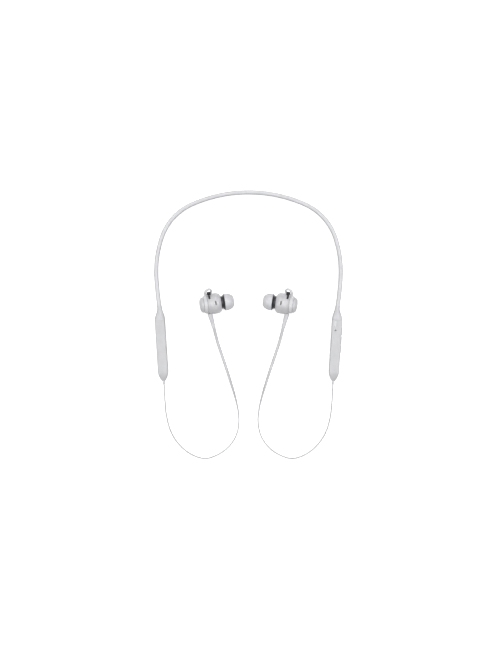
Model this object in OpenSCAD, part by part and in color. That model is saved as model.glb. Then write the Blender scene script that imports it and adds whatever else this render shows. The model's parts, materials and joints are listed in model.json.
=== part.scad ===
// Neckband earphones, lying flat on a table: +Z up, +X to the right, +Y towards the nape.
// Everything is drawn for the left side (negative X) and mirrored for the right side.

/* [Neckband] */
// Y of the band's centreline at the nape
nape_y = 75.5; // [74:0.1:77]
// Radius of the long arc behind the nape
nape_r = 111; // [105:1:118]
// Half sweep of the nape arc, degrees
nape_sweep = 24; // [22:0.5:26]
// Radius of each shoulder bend
shoulder_r = 44; // [42:1:46]
// Sweep of each shoulder bend, degrees
shoulder_sweep = 48; // [46:0.5:50]
// Radius of each side stretch
side_r = 88; // [84:1:92]
// Sweep of each side stretch, degrees
side_sweep = 22; // [20:0.5:24]
// Radius of the last stretch above each pod
lower_r = 278; // [260:1:300]
// Sweep of the last stretch, degrees
lower_sweep = 4.3; // [4:0.1:4.6]
// Width of the silicone band
band_w = 3.5; // [3.2:0.1:3.8]
// Height of the silicone band
band_h = 4.6; // [4.2:0.1:5]
// Diameter of the memory wire and of the lead inside the band
wire_d = 1.2; // [1:0.05:1.3]

/* [Pods] */
// Distance of each pod's centre from the plane of symmetry
pod_x = 69.15; // [69:0.05:70]
// Y of each pod's centre
pod_y = -45.4; // [-46.5:0.1:-45]
// Inward lean of each pod, degrees
pod_lean = 3.6; // [3:0.1:4]
// Width of a pod
pod_w = 8; // [7.8:0.1:8.6]
// Thickness of a pod
pod_t = 8.4; // [8.2:0.1:9]
// Radius of the pod's long edges
pod_edge = 2.2; // [1.6:0.1:2.4]
// Wall of the pod's covers
pod_wall = 1; // [0.9:0.05:1.1]
// Travel of each key
key_travel = 0.3; // [0.2:0.05:0.4]

/* [Earbuds] */
// Distance of each earbud's centre from the plane of symmetry
bud_x = 29.9; // [29:0.1:31]
// Y of each earbud's centre
bud_y = -13.4; // [-15:0.1:-13]
// Turn of the earbud's axis towards the nape, degrees
bud_yaw = 8; // [6:0.5:10]
// Dip of the nozzle towards the table, degrees
bud_dip = 6; // [5:0.5:7]
// Radius of the drum
drum_r = 8.3; // [8.1:0.1:8.4]
// Radius of the ear tip's rim
tip_r = 6.8; // [6.6:0.1:7]

/* [Cables] */
// Width of the flat cable
cable_w = 2.5; // [2.3:0.1:2.6]
// Thickness of the flat cable
cable_t = 1; // [0.9:0.05:1]

/* [Hidden] */
$fn = 48;

fit = 0.05;
left = -1;
right = 1;
white = "#e9e9ec";
silicone = "#dcdce1";
black = "#26262a";
steel = "#b9bcc2";
copper = "#b87840";
board = "#2f6b45";

// ---------------------------------------------------------------- frames

// Draws the left side's shape on the side asked for.
module on_side(side) {
    mirror([side == right ? 1 : 0, 0, 0]) children();
}

pod_z = pod_t / 2;

// Pod frame: +y up the pod, +x towards the other pod, z = 0 at mid thickness.
module at_pod(side) {
    on_side(side) translate([-pod_x, pod_y, pod_z]) rotate([0, 0, pod_lean]) children();
}

// Height of an earbud's centre, so that the front edge of the drum rests on the table.
drum_front = 4;
bud_z = drum_front * sin(bud_dip) + drum_r * cos(bud_dip);

// Earbud frame: +x along the nozzle.
module at_bud(side) {
    on_side(side) translate([-bud_x, bud_y, bud_z]) rotate([0, bud_dip, bud_yaw]) children();
}

// ---------------------------------------------------------------- 2D and sweep helpers

module rounded_rect(w, h, r) {
    square([w - 2 * r, h], center = true);
    square([w, h - 2 * r], center = true);
    for (x = [-1, 1], y = [-1, 1])
        translate([x * (w / 2 - r), y * (h / 2 - r)]) circle(r);
}

// Long round-ended slot, w along x.
module stadium(w, h) {
    square([w - h, h], center = true);
    for (x = [-1, 1]) translate([x * (w - h) / 2, 0]) circle(d = h);
}

// Points [radius, x] turned about the earbud's axis.
module spin(profile) {
    rotate([0, 90, 0]) rotate_extrude() polygon(profile);
}

// Points of an oval section: w across, h up, n sides.
function oval(w, h, n, lift = 0) = [
    for (i = [0:n - 1])
        let(a = 360 * i / n)
        [w / 2 * cos(a), lift + h / 2 * sin(a)]
];

function unit(v) = v / norm(v);

// A frame at a point of a route: position, sideways and upward directions.
function place(f, s) = f[0] + s[0] * f[1] + s[1] * f[2];

// Splits faces with four corners into triangles.
function halves(faces) = [for (f = faces, t = [[0, 1, 2], [0, 2, 3]]) [for (i = t) f[i]]];

// Triangles between rings of n points.
function side_faces(rings, n, from = 0, flip = false) = halves([
    for (r = [0:rings - 2], i = [0:n - 1])
        let(a = from + r * n + i, b = from + r * n + (i + 1) % n)
        flip ? [a, a + n, b + n, b] : [a, b, b + n, a + n]
]);

// Triangles that close a ring, first point to all others.
function end_faces(n, from, flip = false) = [
    for (i = [1:n - 2]) flip ? [from, from + i, from + i + 1] : [from, from + i + 1, from + i]
];

// Triangles between an outer and an inner ring.
function rim_faces(n, outer, inner, flip = false) = halves([
    for (i = [0:n - 1])
        let(a = i, b = (i + 1) % n, p = flip ? b : a, q = flip ? a : b)
        [outer + p, outer + q, inner + q, inner + p]
]);

module solid_sweep(frames, section) {
    n = len(section);
    polyhedron(
        points = [for (f = frames, s = section) place(f, s)],
        faces = concat(
            side_faces(len(frames), n),
            end_faces(n, 0),
            end_faces(n, (len(frames) - 1) * n, true)
        )
    );
}

// A tube: the outer and inner sections have the same number of points.
module tube_sweep(frames, outer, inner) {
    n = len(outer);
    rings = len(frames);
    half = rings * n;
    end = (rings - 1) * n;
    polyhedron(
        points = concat(
            [for (f = frames, s = outer) place(f, s)],
            [for (f = frames, s = inner) place(f, s)]
        ),
        faces = concat(
            side_faces(rings, n),
            side_faces(rings, n, half, true),
            rim_faces(n, 0, half, true),
            rim_faces(n, end, half + end)
        )
    );
}

// ---------------------------------------------------------------- the band's centreline
// Four tangent arcs, drawn for the left side. h is the heading below the X axis, in degrees.

arc_r = [nape_r, shoulder_r, side_r, lower_r];
arc_end = [
    nape_sweep,
    nape_sweep + shoulder_sweep,
    nape_sweep + shoulder_sweep + side_sweep,
    nape_sweep + shoulder_sweep + side_sweep + lower_sweep
];
band_end_h = arc_end[3];
flex_h = nape_sweep + shoulder_sweep / 2;

function out_of(h) = [-sin(h), cos(h)];
function arc_centre(k) = k == 0
    ? [0, nape_y - nape_r]
    : arc_centre(k - 1) + (arc_r[k - 1] - arc_r[k]) * out_of(arc_end[k - 1]);
function arc_of(h) = h <= arc_end[0] ? 0 : h <= arc_end[1] ? 1 : h <= arc_end[2] ? 2 : 3;
function band_at(h) = let(
    k = arc_of(abs(h)),
    p = arc_centre(k) + arc_r[k] * out_of(abs(h)))
    [h < 0 ? -p[0] : p[0], p[1]];

band_z = pod_z;

// Frames along the band: sideways points out of the bend.
function band_frame(h) = [
    [band_at(h)[0], band_at(h)[1], band_z],
    [out_of(h)[0], out_of(h)[1], 0],
    [0, 0, 1]
];

// The memory wire runs over the lead in one bore.
wire_side = 8;
band_side = 12;
bore_gap = 0.15;
bore_w = wire_d + 2 * bore_gap;
bore_h = 2 * wire_d + 4 * bore_gap;
wire_lift = wire_d / 2 + bore_gap;
facet_room = 1.06;
band_outer = oval(band_w, band_h, band_side);
band_bore = oval(bore_w * facet_room, bore_h * facet_room, band_side);

// Where the stretches stop, as headings: the knuckle's radius is taken off the nape's ends.
knuckle_r = band_w / 2 + 0.2;
function arc_angle(mm) = mm / shoulder_r * 180 / PI;
nape_stop = flex_h - arc_angle(knuckle_r + 0.1);
arm_start = flex_h + arc_angle(0.6);
arm_wire_start = flex_h + arc_angle(knuckle_r + 0.3);

nape_steps = 9;
nape_frames = [for (i = [-nape_steps:nape_steps]) band_frame(nape_stop * i / nape_steps)];
function arm_headings(start) = concat(
    [for (i = [0:4]) start + (arc_end[1] - start) * i / 5],
    [for (i = [0:3]) arc_end[1] + side_sweep * i / 4],
    [for (i = [0:2]) arc_end[2] + lower_sweep * i / 2]
);

// The wire and the lead leave the band and go straight down into the pod.
wire_in_pod = [27, 21.5, 16];
function pod_point(y) = [-pod_x - y * sin(pod_lean), pod_y + y * cos(pod_lean), pod_z];
pod_frame_dirs = [[-cos(pod_lean), -sin(pod_lean), 0], [0, 0, 1]];
function arm_wire_frames(start) = concat(
    [for (h = arm_headings(start)) band_frame(h)],
    [for (y = wire_in_pod) [pod_point(y), pod_frame_dirs[0], pod_frame_dirs[1]]]
);

// ---------------------------------------------------------------- band parts

module nape_sheath() {
    color(silicone) tube_sweep(nape_frames, band_outer, band_bore);
}

module nape_core(lift) {
    solid_sweep(nape_frames, oval(wire_d, wire_d, wire_side, lift));
}

module nape_memory_wire() {
    color(steel) nape_core(wire_lift);
}

module nape_lead() {
    color(copper) nape_core(-wire_lift);
}

// The arm's upper end is a round knuckle on the flex axis.
module arm_sheath(side) {
    flex = band_at(flex_h);
    color(silicone) on_side(side) {
        tube_sweep([for (h = arm_headings(arm_start)) band_frame(h)], band_outer, band_bore);
        translate([flex[0], flex[1], band_z]) cylinder(r = knuckle_r, h = band_h + 0.3, center = true);
    }
}

module arm_core(side, lift) {
    on_side(side) solid_sweep(arm_wire_frames(arm_wire_start), oval(wire_d, wire_d, wire_side, lift));
}

module memory_wire(side) {
    color(steel) arm_core(side, wire_lift);
}

module lead(side) {
    color(copper) arm_core(side, -wire_lift);
}

// ---------------------------------------------------------------- pod shells

pod_top = 19.5;
taper_top = -22.6;
taper_len = 6.4;
pod_tip = taper_top - taper_len;
tip_half_w = 1.2;
tip_half_t = 1.9;
parting_z = pod_t / 2 - pod_edge;

// Outline of a pod seen square on: straight sides and a tapered lower end.
function pod_outline(half, tip, inset) = let(
    side = [for (a = [0:15:90]) [
        tip + (half - inset - tip) * pow(cos(a), 1.9),
        taper_top + inset / 2 - (taper_len - inset / 2) * sin(a)
    ]])
    concat(
        [[half - inset, pod_top - inset]],
        side,
        [for (i = [len(side) - 1:-1:0]) [-side[i][0], side[i][1]]],
        [[inset - half, pod_top - inset]]
    );

module pod_form(inset) {
    reach = 60;
    intersection() {
        rotate([90, 0, 0]) linear_extrude(reach, center = true)
            rounded_rect(pod_w - 2 * inset, pod_t - 2 * inset, pod_edge - inset);
        linear_extrude(reach, center = true)
            polygon(pod_outline(pod_w / 2, tip_half_w, inset));
        rotate([0, -90, 0]) linear_extrude(reach, center = true)
            polygon(pod_outline(pod_t / 2, tip_half_t, inset));
    }
}

module pod_shell() {
    difference() {
        pod_form(0);
        pod_form(pod_wall);
        // passage for the memory wire and the lead
        translate([0, pod_top, 0]) rotate([90, 0, 0]) linear_extrude(6, center = true)
            rotate([0, 0, 90]) stadium(bore_h, bore_w);
        // passage for the gland
        translate([0, pod_tip, 0]) cube([gland_w + 2 * fit, 8, gland_t + 2 * fit], center = true);
    }
}

// A box across the pod, above or below the parting line.
module above_parting() {
    translate([-10, -40, parting_z]) cube([20, 70, 10]);
}

// Lip on the back cover's long walls that locates the front cover.
lip_h = 0.7;
lip_t = 0.4;
lip_root = 0.3;
lip_inset = 0.35;
module locating_lip() {
    for (x = [-1, 1]) mirror([x < 0 ? 1 : 0, 0, 0]) {
        translate([pod_w / 2 - pod_wall - lip_inset - lip_t, taper_top + 2, parting_z - lip_root]) {
            cube([lip_t, pod_top - taper_top - 4, lip_root + lip_h]);
            cube([lip_t + 2 * lip_inset, pod_top - taper_top - 4, lip_root - fit]);
        }
    }
}

// Keys sit on the outer side, the charging port on the inner side of the right pod.
key_y = [10.5, 3.4, -3.7];
key_z = -0.1;
key_len = 6.2;
key_h = 2.6;
key_proud = 0.6;
port_y = -14.5;
port_z = 0.3;
port_w = 7.6;
port_h = 2.8;
flap_w = 10.4;
flap_h = 3.2;
flap_t = 0.6;
flap_hinge_y = port_y + flap_w / 2;
flap_hinge_x = pod_w / 2 - 0.25;
flap_knuckle_r = 0.45;

module key_outline(grow) {
    rounded_rect(key_len + 2 * grow, key_h + 2 * grow, 1.2);
}

module key_holes() {
    for (y = key_y)
        translate([-pod_w / 2, y, key_z]) rotate([90, 0, 90])
            linear_extrude(4, center = true) key_outline(fit);
}

module port_cutouts() {
    translate([pod_w / 2, port_y, port_z]) {
        // recess for the flap
        cube([2 * (flap_t + fit), flap_w + 2 * fit, flap_h + 2 * fit], center = true);
        // opening for the plug
        rotate([90, 0, 90]) linear_extrude(5, center = true) rounded_rect(port_w, port_h, 0.6);
    }
    // room for the flap's knuckle
    translate([flap_hinge_x, flap_hinge_y, port_z])
        cylinder(r = flap_knuckle_r + 2 * fit, h = flap_h + 2 * fit, center = true);
}

module back_cover(side) {
    color(white) at_pod(side) {
        difference() {
            pod_shell();
            above_parting();
            if (side == right) key_holes();
            if (side == right) port_cutouts();
        }
        locating_lip();
    }
}

light_x = 1.4;
light_y = 16.4;
light_len = 4.4;
light_w = 1.7;
mic_x = 1;
mic_y = 11.2;
mic_hole = 1.2;

module front_cover(side) {
    color(white) at_pod(side) difference() {
        intersection() {
            pod_shell();
            above_parting();
        }
        if (side == right) {
            translate([light_x, light_y, pod_t / 2]) linear_extrude(4, center = true)
                rotate([0, 0, 90]) stadium(light_len + 2 * fit, light_w + 2 * fit);
            translate([mic_x, mic_y, pod_t / 2]) cylinder(d = mic_hole, h = 4, center = true);
        }
    }
}

// ---------------------------------------------------------------- boots and glands

boot_len = 11.2;
flare_len = 9.8;

// Half width of the boot at y: from half at the pod to neck at the band.
function flare(half, neck, y) =
    let(turn = 180 * min(1, (y - pod_top) / flare_len))
    neck + (half - neck) * pow(0.5 + 0.5 * cos(turn), 0.9);
function boot_outline(half, neck) = let(ys = [for (i = [0:10]) pod_top + boot_len * i / 10])
    concat(
        [for (y = ys) [flare(half, neck, y), y]],
        [for (i = [10:-1:0]) [-flare(half, neck, ys[i]), ys[i]]]
    );

// Silicone flare between the band and the pod.
module boot(side) {
    end = band_at(band_end_h);
    color(silicone) difference() {
        at_pod(side) difference() {
            intersection() {
                rotate([90, 0, 0]) linear_extrude(70, center = true)
                    rounded_rect(pod_w, pod_t, pod_edge);
                linear_extrude(20, center = true) polygon(boot_outline(pod_w / 2, band_w / 2));
                rotate([0, -90, 0]) linear_extrude(20, center = true)
                    polygon(boot_outline(pod_t / 2, band_h / 2));
            }
            translate([0, pod_top, 0]) rotate([90, 0, 0]) linear_extrude(40, center = true)
                rotate([0, 0, 90]) stadium(bore_h + 0.3, bore_w + 0.8);
        }
        // the band's end face closes the boot
        on_side(side) translate([end[0], end[1], band_z]) rotate([0, 0, band_end_h])
            translate([10, 0, 0]) cube([20, 12, 12], center = true);
    }
}

gland_w = 1.9;
gland_t = 3.2;
swing_y = -31;
gland_head_w = 2.6;
gland_head_len = 0.6;

// Grommet in the pod's tip, with a round end on the cable's swing axis.
module gland(side) {
    inner_y = pod_tip + pod_wall + fit;
    color(silicone) at_pod(side) {
        translate([-gland_w / 2, swing_y, -gland_t / 2])
            cube([gland_w, inner_y - swing_y + gland_head_len, gland_t]);
        translate([-gland_head_w / 2, inner_y, -gland_t / 2]) cube([gland_head_w, gland_head_len, gland_t]);
        translate([0, swing_y, 0]) cylinder(d = gland_w, h = gland_t, center = true);
    }
}

// ---------------------------------------------------------------- inside the left pod

battery_y = -3;
battery_z = -0.7;
battery_w = 5.2;
battery_t = 4.6;
battery_len = 33;
pad_t = 1.5;
board_t = 0.8;

module battery() {
    color(steel) at_pod(left) translate([0, battery_y, battery_z]) rotate([90, 0, 0])
        linear_extrude(battery_len, center = true) rounded_rect(battery_w, battery_t, 1);
}

// Foam pad between the battery and the front cover.
module battery_pad() {
    color(black) at_pod(left) translate([0, battery_y, battery_z + battery_t / 2 + fit + pad_t / 2])
        cube([3.4, 30, pad_t], center = true);
}

// Small board across the battery's upper end, with one chip.
module protection_board() {
    color(board) at_pod(left) translate([0, battery_y + battery_len / 2 + 0.4, 0]) {
        translate([-2.2, 0, -2.6]) cube([4.4, board_t, 2.2]);
        translate([-1.2, board_t, -2.2]) cube([2.4, 0.8, 1.4]);
    }
}

// ---------------------------------------------------------------- inside the right pod

board_z = -1.9;
board_top = board_z + board_t;

module main_board() {
    color(board) at_pod(right) translate([-2.3, -20, board_z]) cube([4.8, 34, board_t]);
}

module radio_module() {
    color(steel) at_pod(right) translate([0.1, 0.2, board_top]) cube([2.3, 7, 1.4]);
}

// Three side-acting switches: a case and a push face each.
switch_x = -2;
switch_face = 0.3;
module side_switches() {
    color(black) at_pod(right) for (y = key_y) {
        translate([switch_x + switch_face, y - 1.7, board_top]) cube([1.4, 3.4, 1.8]);
        translate([switch_x, y - 0.7, key_z - 0.5]) cube([switch_face, 1.4, 1]);
    }
}

// A key: cap through the wall, flange behind it and a plunger that faces its switch.
module key(index) {
    inner = -pod_w / 2 + pod_wall;
    color(silicone) at_pod(right) translate([0, key_y[index], key_z]) {
        translate([-pod_w / 2 - key_proud, 0, 0]) rotate([90, 0, 90])
            linear_extrude(key_proud + pod_wall + fit) key_outline(0);
        translate([inner + fit, 0, 0]) rotate([90, 0, 90]) linear_extrude(0.25)
            rounded_rect(key_len + 0.6, key_h + 0.4, 0.8);
        translate([inner + 0.2, 0, 0]) rotate([0, 90, 0])
            cylinder(d = 1.2, h = switch_x - inner - 0.2 - key_travel - 0.1);
    }
}

// Window in the front cover with a stem that stands over the board's lamp.
module light_guide() {
    depth = 1.6;
    lamp_h = 0.9;
    color("#f6f6fa") at_pod(right) {
        translate([light_x, light_y, pod_t / 2 - depth]) linear_extrude(depth)
            rotate([0, 0, 90]) stadium(light_len, light_w);
        translate([light_x, light_y - 1.2, board_top + lamp_h])
            cylinder(d = 1.2, h = pod_t / 2 - depth - board_top - lamp_h);
    }
}

module microphone() {
    color(steel) at_pod(right) translate([mic_x - 1.2, mic_y - 1.8, board_top]) cube([2.5, 3.5, 1]);
}

module microphone_seal() {
    color(black) at_pod(right) translate([mic_x, mic_y, board_top + 1]) difference() {
        cylinder(d = 2.4, h = pod_t / 2 - pod_wall - board_top - 1);
        translate([0, 0, -1]) cylinder(d = mic_hole, h = 8);
    }
}

module charging_port() {
    depth = 5.2;
    shell_t = 0.3;
    at_pod(right) translate([pod_w / 2 - pod_wall - fit - depth / 2, port_y, port_z]) {
        color(steel) difference() {
            rotate([90, 0, 90]) linear_extrude(depth, center = true)
                rounded_rect(port_w - 0.2, port_h - 0.2, 0.6);
            translate([2 * shell_t, 0, 0]) rotate([90, 0, 90]) linear_extrude(depth, center = true)
                rounded_rect(port_w - 0.2 - 2 * shell_t, port_h - 0.2 - 2 * shell_t, 0.4);
        }
        // tongue
        color(black) translate([-0.2, 0, 0.2]) cube([depth - 1, 4, 0.5], center = true);
    }
}

// Flap over the port, hinged at its upper end.
module port_flap() {
    color(silicone) at_pod(right) translate([flap_hinge_x, flap_hinge_y, port_z]) {
        cylinder(r = flap_knuckle_r, h = flap_h, center = true);
        translate([-0.35, -flap_w, -flap_h / 2]) cube([flap_t, flap_w, flap_h]);
        translate([-1, port_y - flap_hinge_y - 2.9, -1]) cube([0.8, 5.8, 2]);
    }
}

// ---------------------------------------------------------------- flat cables
// Route of the left cable: [x, y, z, turn], turn being 0 on edge and 90 lying flat.

cable_route = [
    [-67.1, -77.4, 4.2, 0],
    [-66.8, -83.6, 4, 0],
    [-66.45, -91.6, 3.2, 0],
    [-65.4, -102.6, 2, 0],
    [-62.3, -114.2, 1.4, 0],
    [-56.4, -124.2, 1.3, 0],
    [-47.2, -132.4, 1.3, 0],
    [-35.4, -136.6, 1.3, 0],
    [-24.6, -133.6, 1.3, 0],
    [-15.6, -127, 1.3, 0],
    [-9.8, -118, 1.3, 0],
    [-7.7, -107.6, 1.3, 0],
    [-8.4, -97.6, 1.3, 10],
    [-10.6, -87.6, 1.2, 30],
    [-13.9, -76.6, 0.95, 55],
    [-17.4, -65.6, 0.7, 75],
    [-21.1, -54.6, 0.75, 85],
    [-24.4, -44.6, 1.2, 88],
    [-26.3, -37.4, 2.6, 90],
    [-28, -30.3, 4.46, 90]
];
cable_steps = 2;

// Catmull-Rom curve through the route's points.
function route_point(k) = cable_route[max(0, min(len(cable_route) - 1, k))];
function curve(k, t) = let(
    a = route_point(k - 1),
    b = route_point(k),
    c = route_point(k + 1),
    d = route_point(k + 2))
    0.5 * (2 * b + (c - a) * t + (2 * a - 5 * b + 4 * c - d) * t * t + (3 * b - a - 3 * c + d) * t * t * t);
cable_points = concat(
    [for (k = [0:len(cable_route) - 2], s = [0:cable_steps - 1]) curve(k, s / cable_steps)],
    [cable_route[len(cable_route) - 1]]
);

function xyz(p) = [p[0], p[1], p[2]];
function cable_frame(i) = let(
    n = len(cable_points),
    ahead = unit(xyz(cable_points[min(n - 1, i + 1)]) - xyz(cable_points[max(0, i - 1)])),
    level = unit([-ahead[1], ahead[0], 0]),
    upright = cross(ahead, level),
    turn = cable_points[i][3])
    [
        xyz(cable_points[i]),
        cos(turn) * upright + sin(turn) * level,
        cos(turn) * level - sin(turn) * upright
    ];

module cable(side) {
    color(silicone) on_side(side)
        solid_sweep([for (i = [0:len(cable_points) - 1]) cable_frame(i)], oval(cable_w, cable_t, 8));
}

// ---------------------------------------------------------------- earbud parts

cap_r = 6.2;
cap_rear = -9;
cap_front = -5.6;
hub_r = 5.6;
ring_rear = -5.5;
ring_front = -2.6;
ring_r = 7;
drum_rear = -2.5;
drum_rear_r = 7;
drum_nose = 8.2;
nose_r = 5.9;
drum_wall = 0.9;
collar_front = 10.9;
spout_end = 16.6;

// Rounded dome from radius r at x0 to the axis at x0 - depth.
function dome(r, depth, x0) = [for (a = [0:10:90]) [r * pow(cos(a), 0.75), x0 - depth * pow(sin(a), 0.75)]];

module bud_cap(side) {
    depth = cap_front - cap_rear;
    color(white) at_bud(side) difference() {
        union() {
            spin(concat([[0, cap_front]], dome(cap_r, depth, cap_front)));
            translate([cap_front - 0.2, 0, 0]) rotate([0, 90, 0]) cylinder(r = hub_r - 0.5 - fit, h = 1.6);
        }
        spin(concat([[0, cap_front]], dome(cap_r - 1, depth - 1, cap_front)));
        translate([cap_front - 0.5, 0, 0]) rotate([0, 90, 0]) cylinder(r = hub_r - 1.1, h = 4);
    }
}

module bud_magnet(side) {
    color(steel) at_bud(side) translate([cap_front - 1.7, 0, 0]) rotate([0, 90, 0])
        cylinder(r = 3.9, h = 1.6);
}

// Peg that holds the ear ring's loop: a rib over the drum and a head inside the loop.
peg_x = -0.75;
peg_roll = 30;
rib_sweep = 30;
rib_w = 1.4;
slot_early = 8;

peg_root = 6.3;
peg_head = 8.7;
peg_tall = 2.1;

module fin_rib() {
    rotate([0, 90, 0]) rotate([0, 0, 90 + peg_roll]) rotate_extrude(angle = rib_sweep)
        translate([peg_root, peg_x - rib_w / 2]) square([drum_r + 0.15 - peg_root, rib_w]);
}

module fin_peg(grow = 0) {
    rotate([peg_roll, 0, 0]) {
        translate([peg_x, peg_root, 0]) rotate([-90, 0, 0])
            cylinder(d = rib_w + 2 * grow, h = peg_head - peg_root + 0.4);
        translate([peg_x, peg_head - grow, 0]) rotate([-90, 0, 0])
            linear_extrude(peg_tall + 2 * grow) stadium(3.2 + 2 * grow, 1.6 + 2 * grow);
    }
}

module chassis(side) {
    color(black) at_bud(side) difference() {
        union() {
            spin([
                [hub_r - 0.5, ring_rear - 0.05], [hub_r, ring_rear - 0.05], [hub_r, drum_rear],
                [drum_rear_r - 0.65, drum_rear], [7.25, 2], [7.25, 3.4], [6.05, 3.4], [6.05, drum_rear + 1],
                [hub_r - 0.5, drum_rear + 1]
            ]);
            fin_rib();
            fin_peg();
        }
        relief_axis() cylinder(r = relief_plug_r + fit, h = 6, center = true);
    }
}

// The loop stands on the ring, leans over the drum and is twisted, so that it goes round the peg.
loop_x = -3.9;
loop_foot = 6.4;
loop_lean = 33;
loop_twist = -25;
loop_t = 1.9;
loop_centre = 5.1;
loop_r = 3.6;
loop_hole_r = 2.2;

module loop_outline() {
    difference() {
        union() {
            translate([0, loop_centre]) circle(loop_r);
            polygon([[-1.5, -0.6], [1.5, -0.6], [1.7, 1.2], [2.6, 2.8], [-2.6, 2.8], [-1.7, 1.2]]);
        }
        translate([0, loop_centre]) circle(loop_hole_r);
        polygon([[0.2, 2.4], [1.7, 2.4], [1.9, 4.2], [-1.6, 4.2]]);
    }
}

module ring_and_loop() {
    spin([
        [hub_r + fit, ring_rear], [ring_r - 0.7, ring_rear], [ring_r, ring_rear + 0.7],
        [ring_r, ring_front - 0.3], [ring_r - 0.3, ring_front], [hub_r + fit, ring_front]
    ]);
    rotate([peg_roll, 0, 0]) translate([loop_x, loop_foot, 0]) rotate([0, 0, -loop_lean])
        rotate([0, -loop_twist, 0]) linear_extrude(loop_t, center = true) loop_outline();
}

module ear_ring(side) {
    peg_room = 0.1;
    color(silicone) at_bud(side) difference() {
        ring_and_loop();
        fin_peg(peg_room);
        // room for the hub and the drum
        translate([ring_rear - 2, 0, 0]) rotate([0, 90, 0]) cylinder(r = hub_r + fit, h = 8);
        translate([drum_rear - fit, 0, 0]) rotate([0, 90, 0]) cylinder(r = drum_r + 0.15, h = 8);
    }
}

// Shell of the drum: a barrel that narrows a little to the rear and more to the nozzle.
function drum_front_profile(inset) = concat(
    [for (a = [0:10:80]) [
        nose_r - inset + (drum_r - nose_r) * cos(a),
        drum_front + (drum_nose - inset - drum_front) * sin(a)
    ]],
    [[nose_r - inset, drum_nose - inset]]
);

module drum_form(grow) {
    spin(concat(
        [
            [0, drum_rear - grow], [drum_rear_r + grow, drum_rear - grow],
            [7.2 + grow, drum_rear + 0.3], [7.6 + grow, -1], [7.95 + grow, 0.2],
            [8.2 + grow, 1.6], [drum_r + grow, 2.8]
        ],
        drum_front_profile(-grow),
        [[0, drum_nose + grow]]
    ));
}

module drum_shell(side) {
    slot_x = 3.7;
    rear_bore = drum_rear_r - 0.5;
    color(white) at_bud(side) difference() {
        drum_form(0);
        spin(concat(
            [[0, drum_rear - 1], [rear_bore, drum_rear - 1], [rear_bore, drum_rear], [drum_r - drum_wall, 2]],
            drum_front_profile(drum_wall),
            [[0, drum_nose - drum_wall]]
        ));
        // seat of the nozzle
        translate([drum_nose - 3, 0, 0]) rotate([0, 90, 0]) cylinder(r = 4.5 + fit, h = 6);
        // vent
        translate([slot_x - 0.4, -1.9, 5]) cube([0.8, 3.8, 5]);
        // slot of the peg's rib
        rotate([0, 90, 0]) rotate([0, 0, 90 + peg_roll - slot_early])
            rotate_extrude(angle = rib_sweep + slot_early + 1)
                translate([6.4, peg_x - rib_w / 2 - 0.1]) square([3.6, rib_w + 0.2]);
        relief_axis() cylinder(r = relief_plug_r + fit, h = 6, center = true);
    }
}

basket_r = 6;

module driver_basket(side) {
    color(steel) at_bud(side) spin([
        [3.7, -1.4], [basket_r, -1.4], [basket_r, 3],
        [basket_r - 0.5, 3], [basket_r - 0.5, -0.9], [3.7, -0.9]
    ]);
}

module driver_motor(side) {
    color(black) at_bud(side) spin([
        [0, -1.9], [3.65, -1.9], [3.65, 1.6], [3.1, 1.6], [3.1, -1.3], [2.6, -1.3], [2.6, 1.6], [0, 1.6]
    ]);
}

// Thin cone and dome with its voice coil in the motor's gap.
module diaphragm(side) {
    t = 0.15;
    color(copper) at_bud(side) {
        spin(concat(
            [[5.4, 2.4], [5.4, 2.4 + t], [4.2, 2.9 + t], [2.9, 2.3 + t]],
            [for (a = [0:15:90]) [2.9 * cos(a), 2.3 + t + 0.9 * sin(a)]],
            [for (a = [90:-15:0]) [(2.9 - t) * cos(a), 2.3 + 0.9 * sin(a)]],
            [[4.2, 2.9]]
        ));
        spin([[2.75, 0.2], [2.95, 0.2], [2.95, 2.5], [2.75, 2.5]]);
    }
}

// Collar and oval spout.
module nozzle(side) {
    color(black) at_bud(side) difference() {
        union() {
            translate([drum_nose - 1.4, 0, 0]) rotate([0, 90, 0]) cylinder(r = 4.5, h = 3);
            spin([
                [0, drum_nose + fit], [5.7, drum_nose + fit], [6.2, drum_nose + 0.6],
                [6.2, collar_front - 0.5], [5.7, collar_front], [0, collar_front]
            ]);
            translate([drum_nose, 0, 0]) rotate([90, 0, 90])
                linear_extrude(spout_end - drum_nose) stadium(5.6, 3.8);
        }
        translate([drum_nose, 0, 0]) rotate([90, 0, 90])
            linear_extrude(24, center = true) stadium(4.2, 2.4);
    }
}

module nozzle_mesh(side) {
    color(steel) at_bud(side) translate([spout_end - 0.6, 0, 0]) rotate([90, 0, 90]) linear_extrude(0.25)
        stadium(4.2 - 2 * fit, 2.4 - 2 * fit);
}

// Strain relief of the cable under the drum.
relief_x = -1.6;
relief_roll = 14;
relief_fore = 8.45;
relief_len = 12.25;
relief_plug_r = 0.85;
relief_root = 7.3;

// Frame with z along the relief, away from the drum, z = 0 at the sleeve's root.
module relief_axis() {
    rotate([relief_roll, 0, 0]) mirror([0, 1, 0]) translate([relief_x, relief_root, 0])
        rotate([0, 0, -relief_fore]) rotate([-90, 0, 0]) children();
}

module relief_sleeve() {
    difference() {
        relief_axis() intersection() {
            linear_extrude(relief_len) rounded_rect(3.9, 3, 1.2);
            rotate([90, 0, 0]) linear_extrude(6, center = true)
                polygon([[-2, -1], [2, -1], [2, 3], [1.6, relief_len], [-1.6, relief_len], [-2, 3]]);
            rotate([90, 0, 90]) linear_extrude(6, center = true)
                polygon([
                    [-1.5, -1], [1.5, -1], [1.5, 3],
                    [0.9, relief_len], [-0.9, relief_len], [-1.5, 3]
                ]);
        }
        drum_form(fit);
    }
}

module bud_relief(side) {
    color(silicone) at_bud(side) difference() {
        union() {
            relief_sleeve();
            relief_axis() translate([0, 0, -0.8]) cylinder(r = relief_plug_r, h = 2.2);
        }
        // socket of the flat cable
        relief_axis() translate([0, 0, relief_len]) cube([cable_w + 0.2, cable_t + 0.5, 4], center = true);
    }
}

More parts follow.
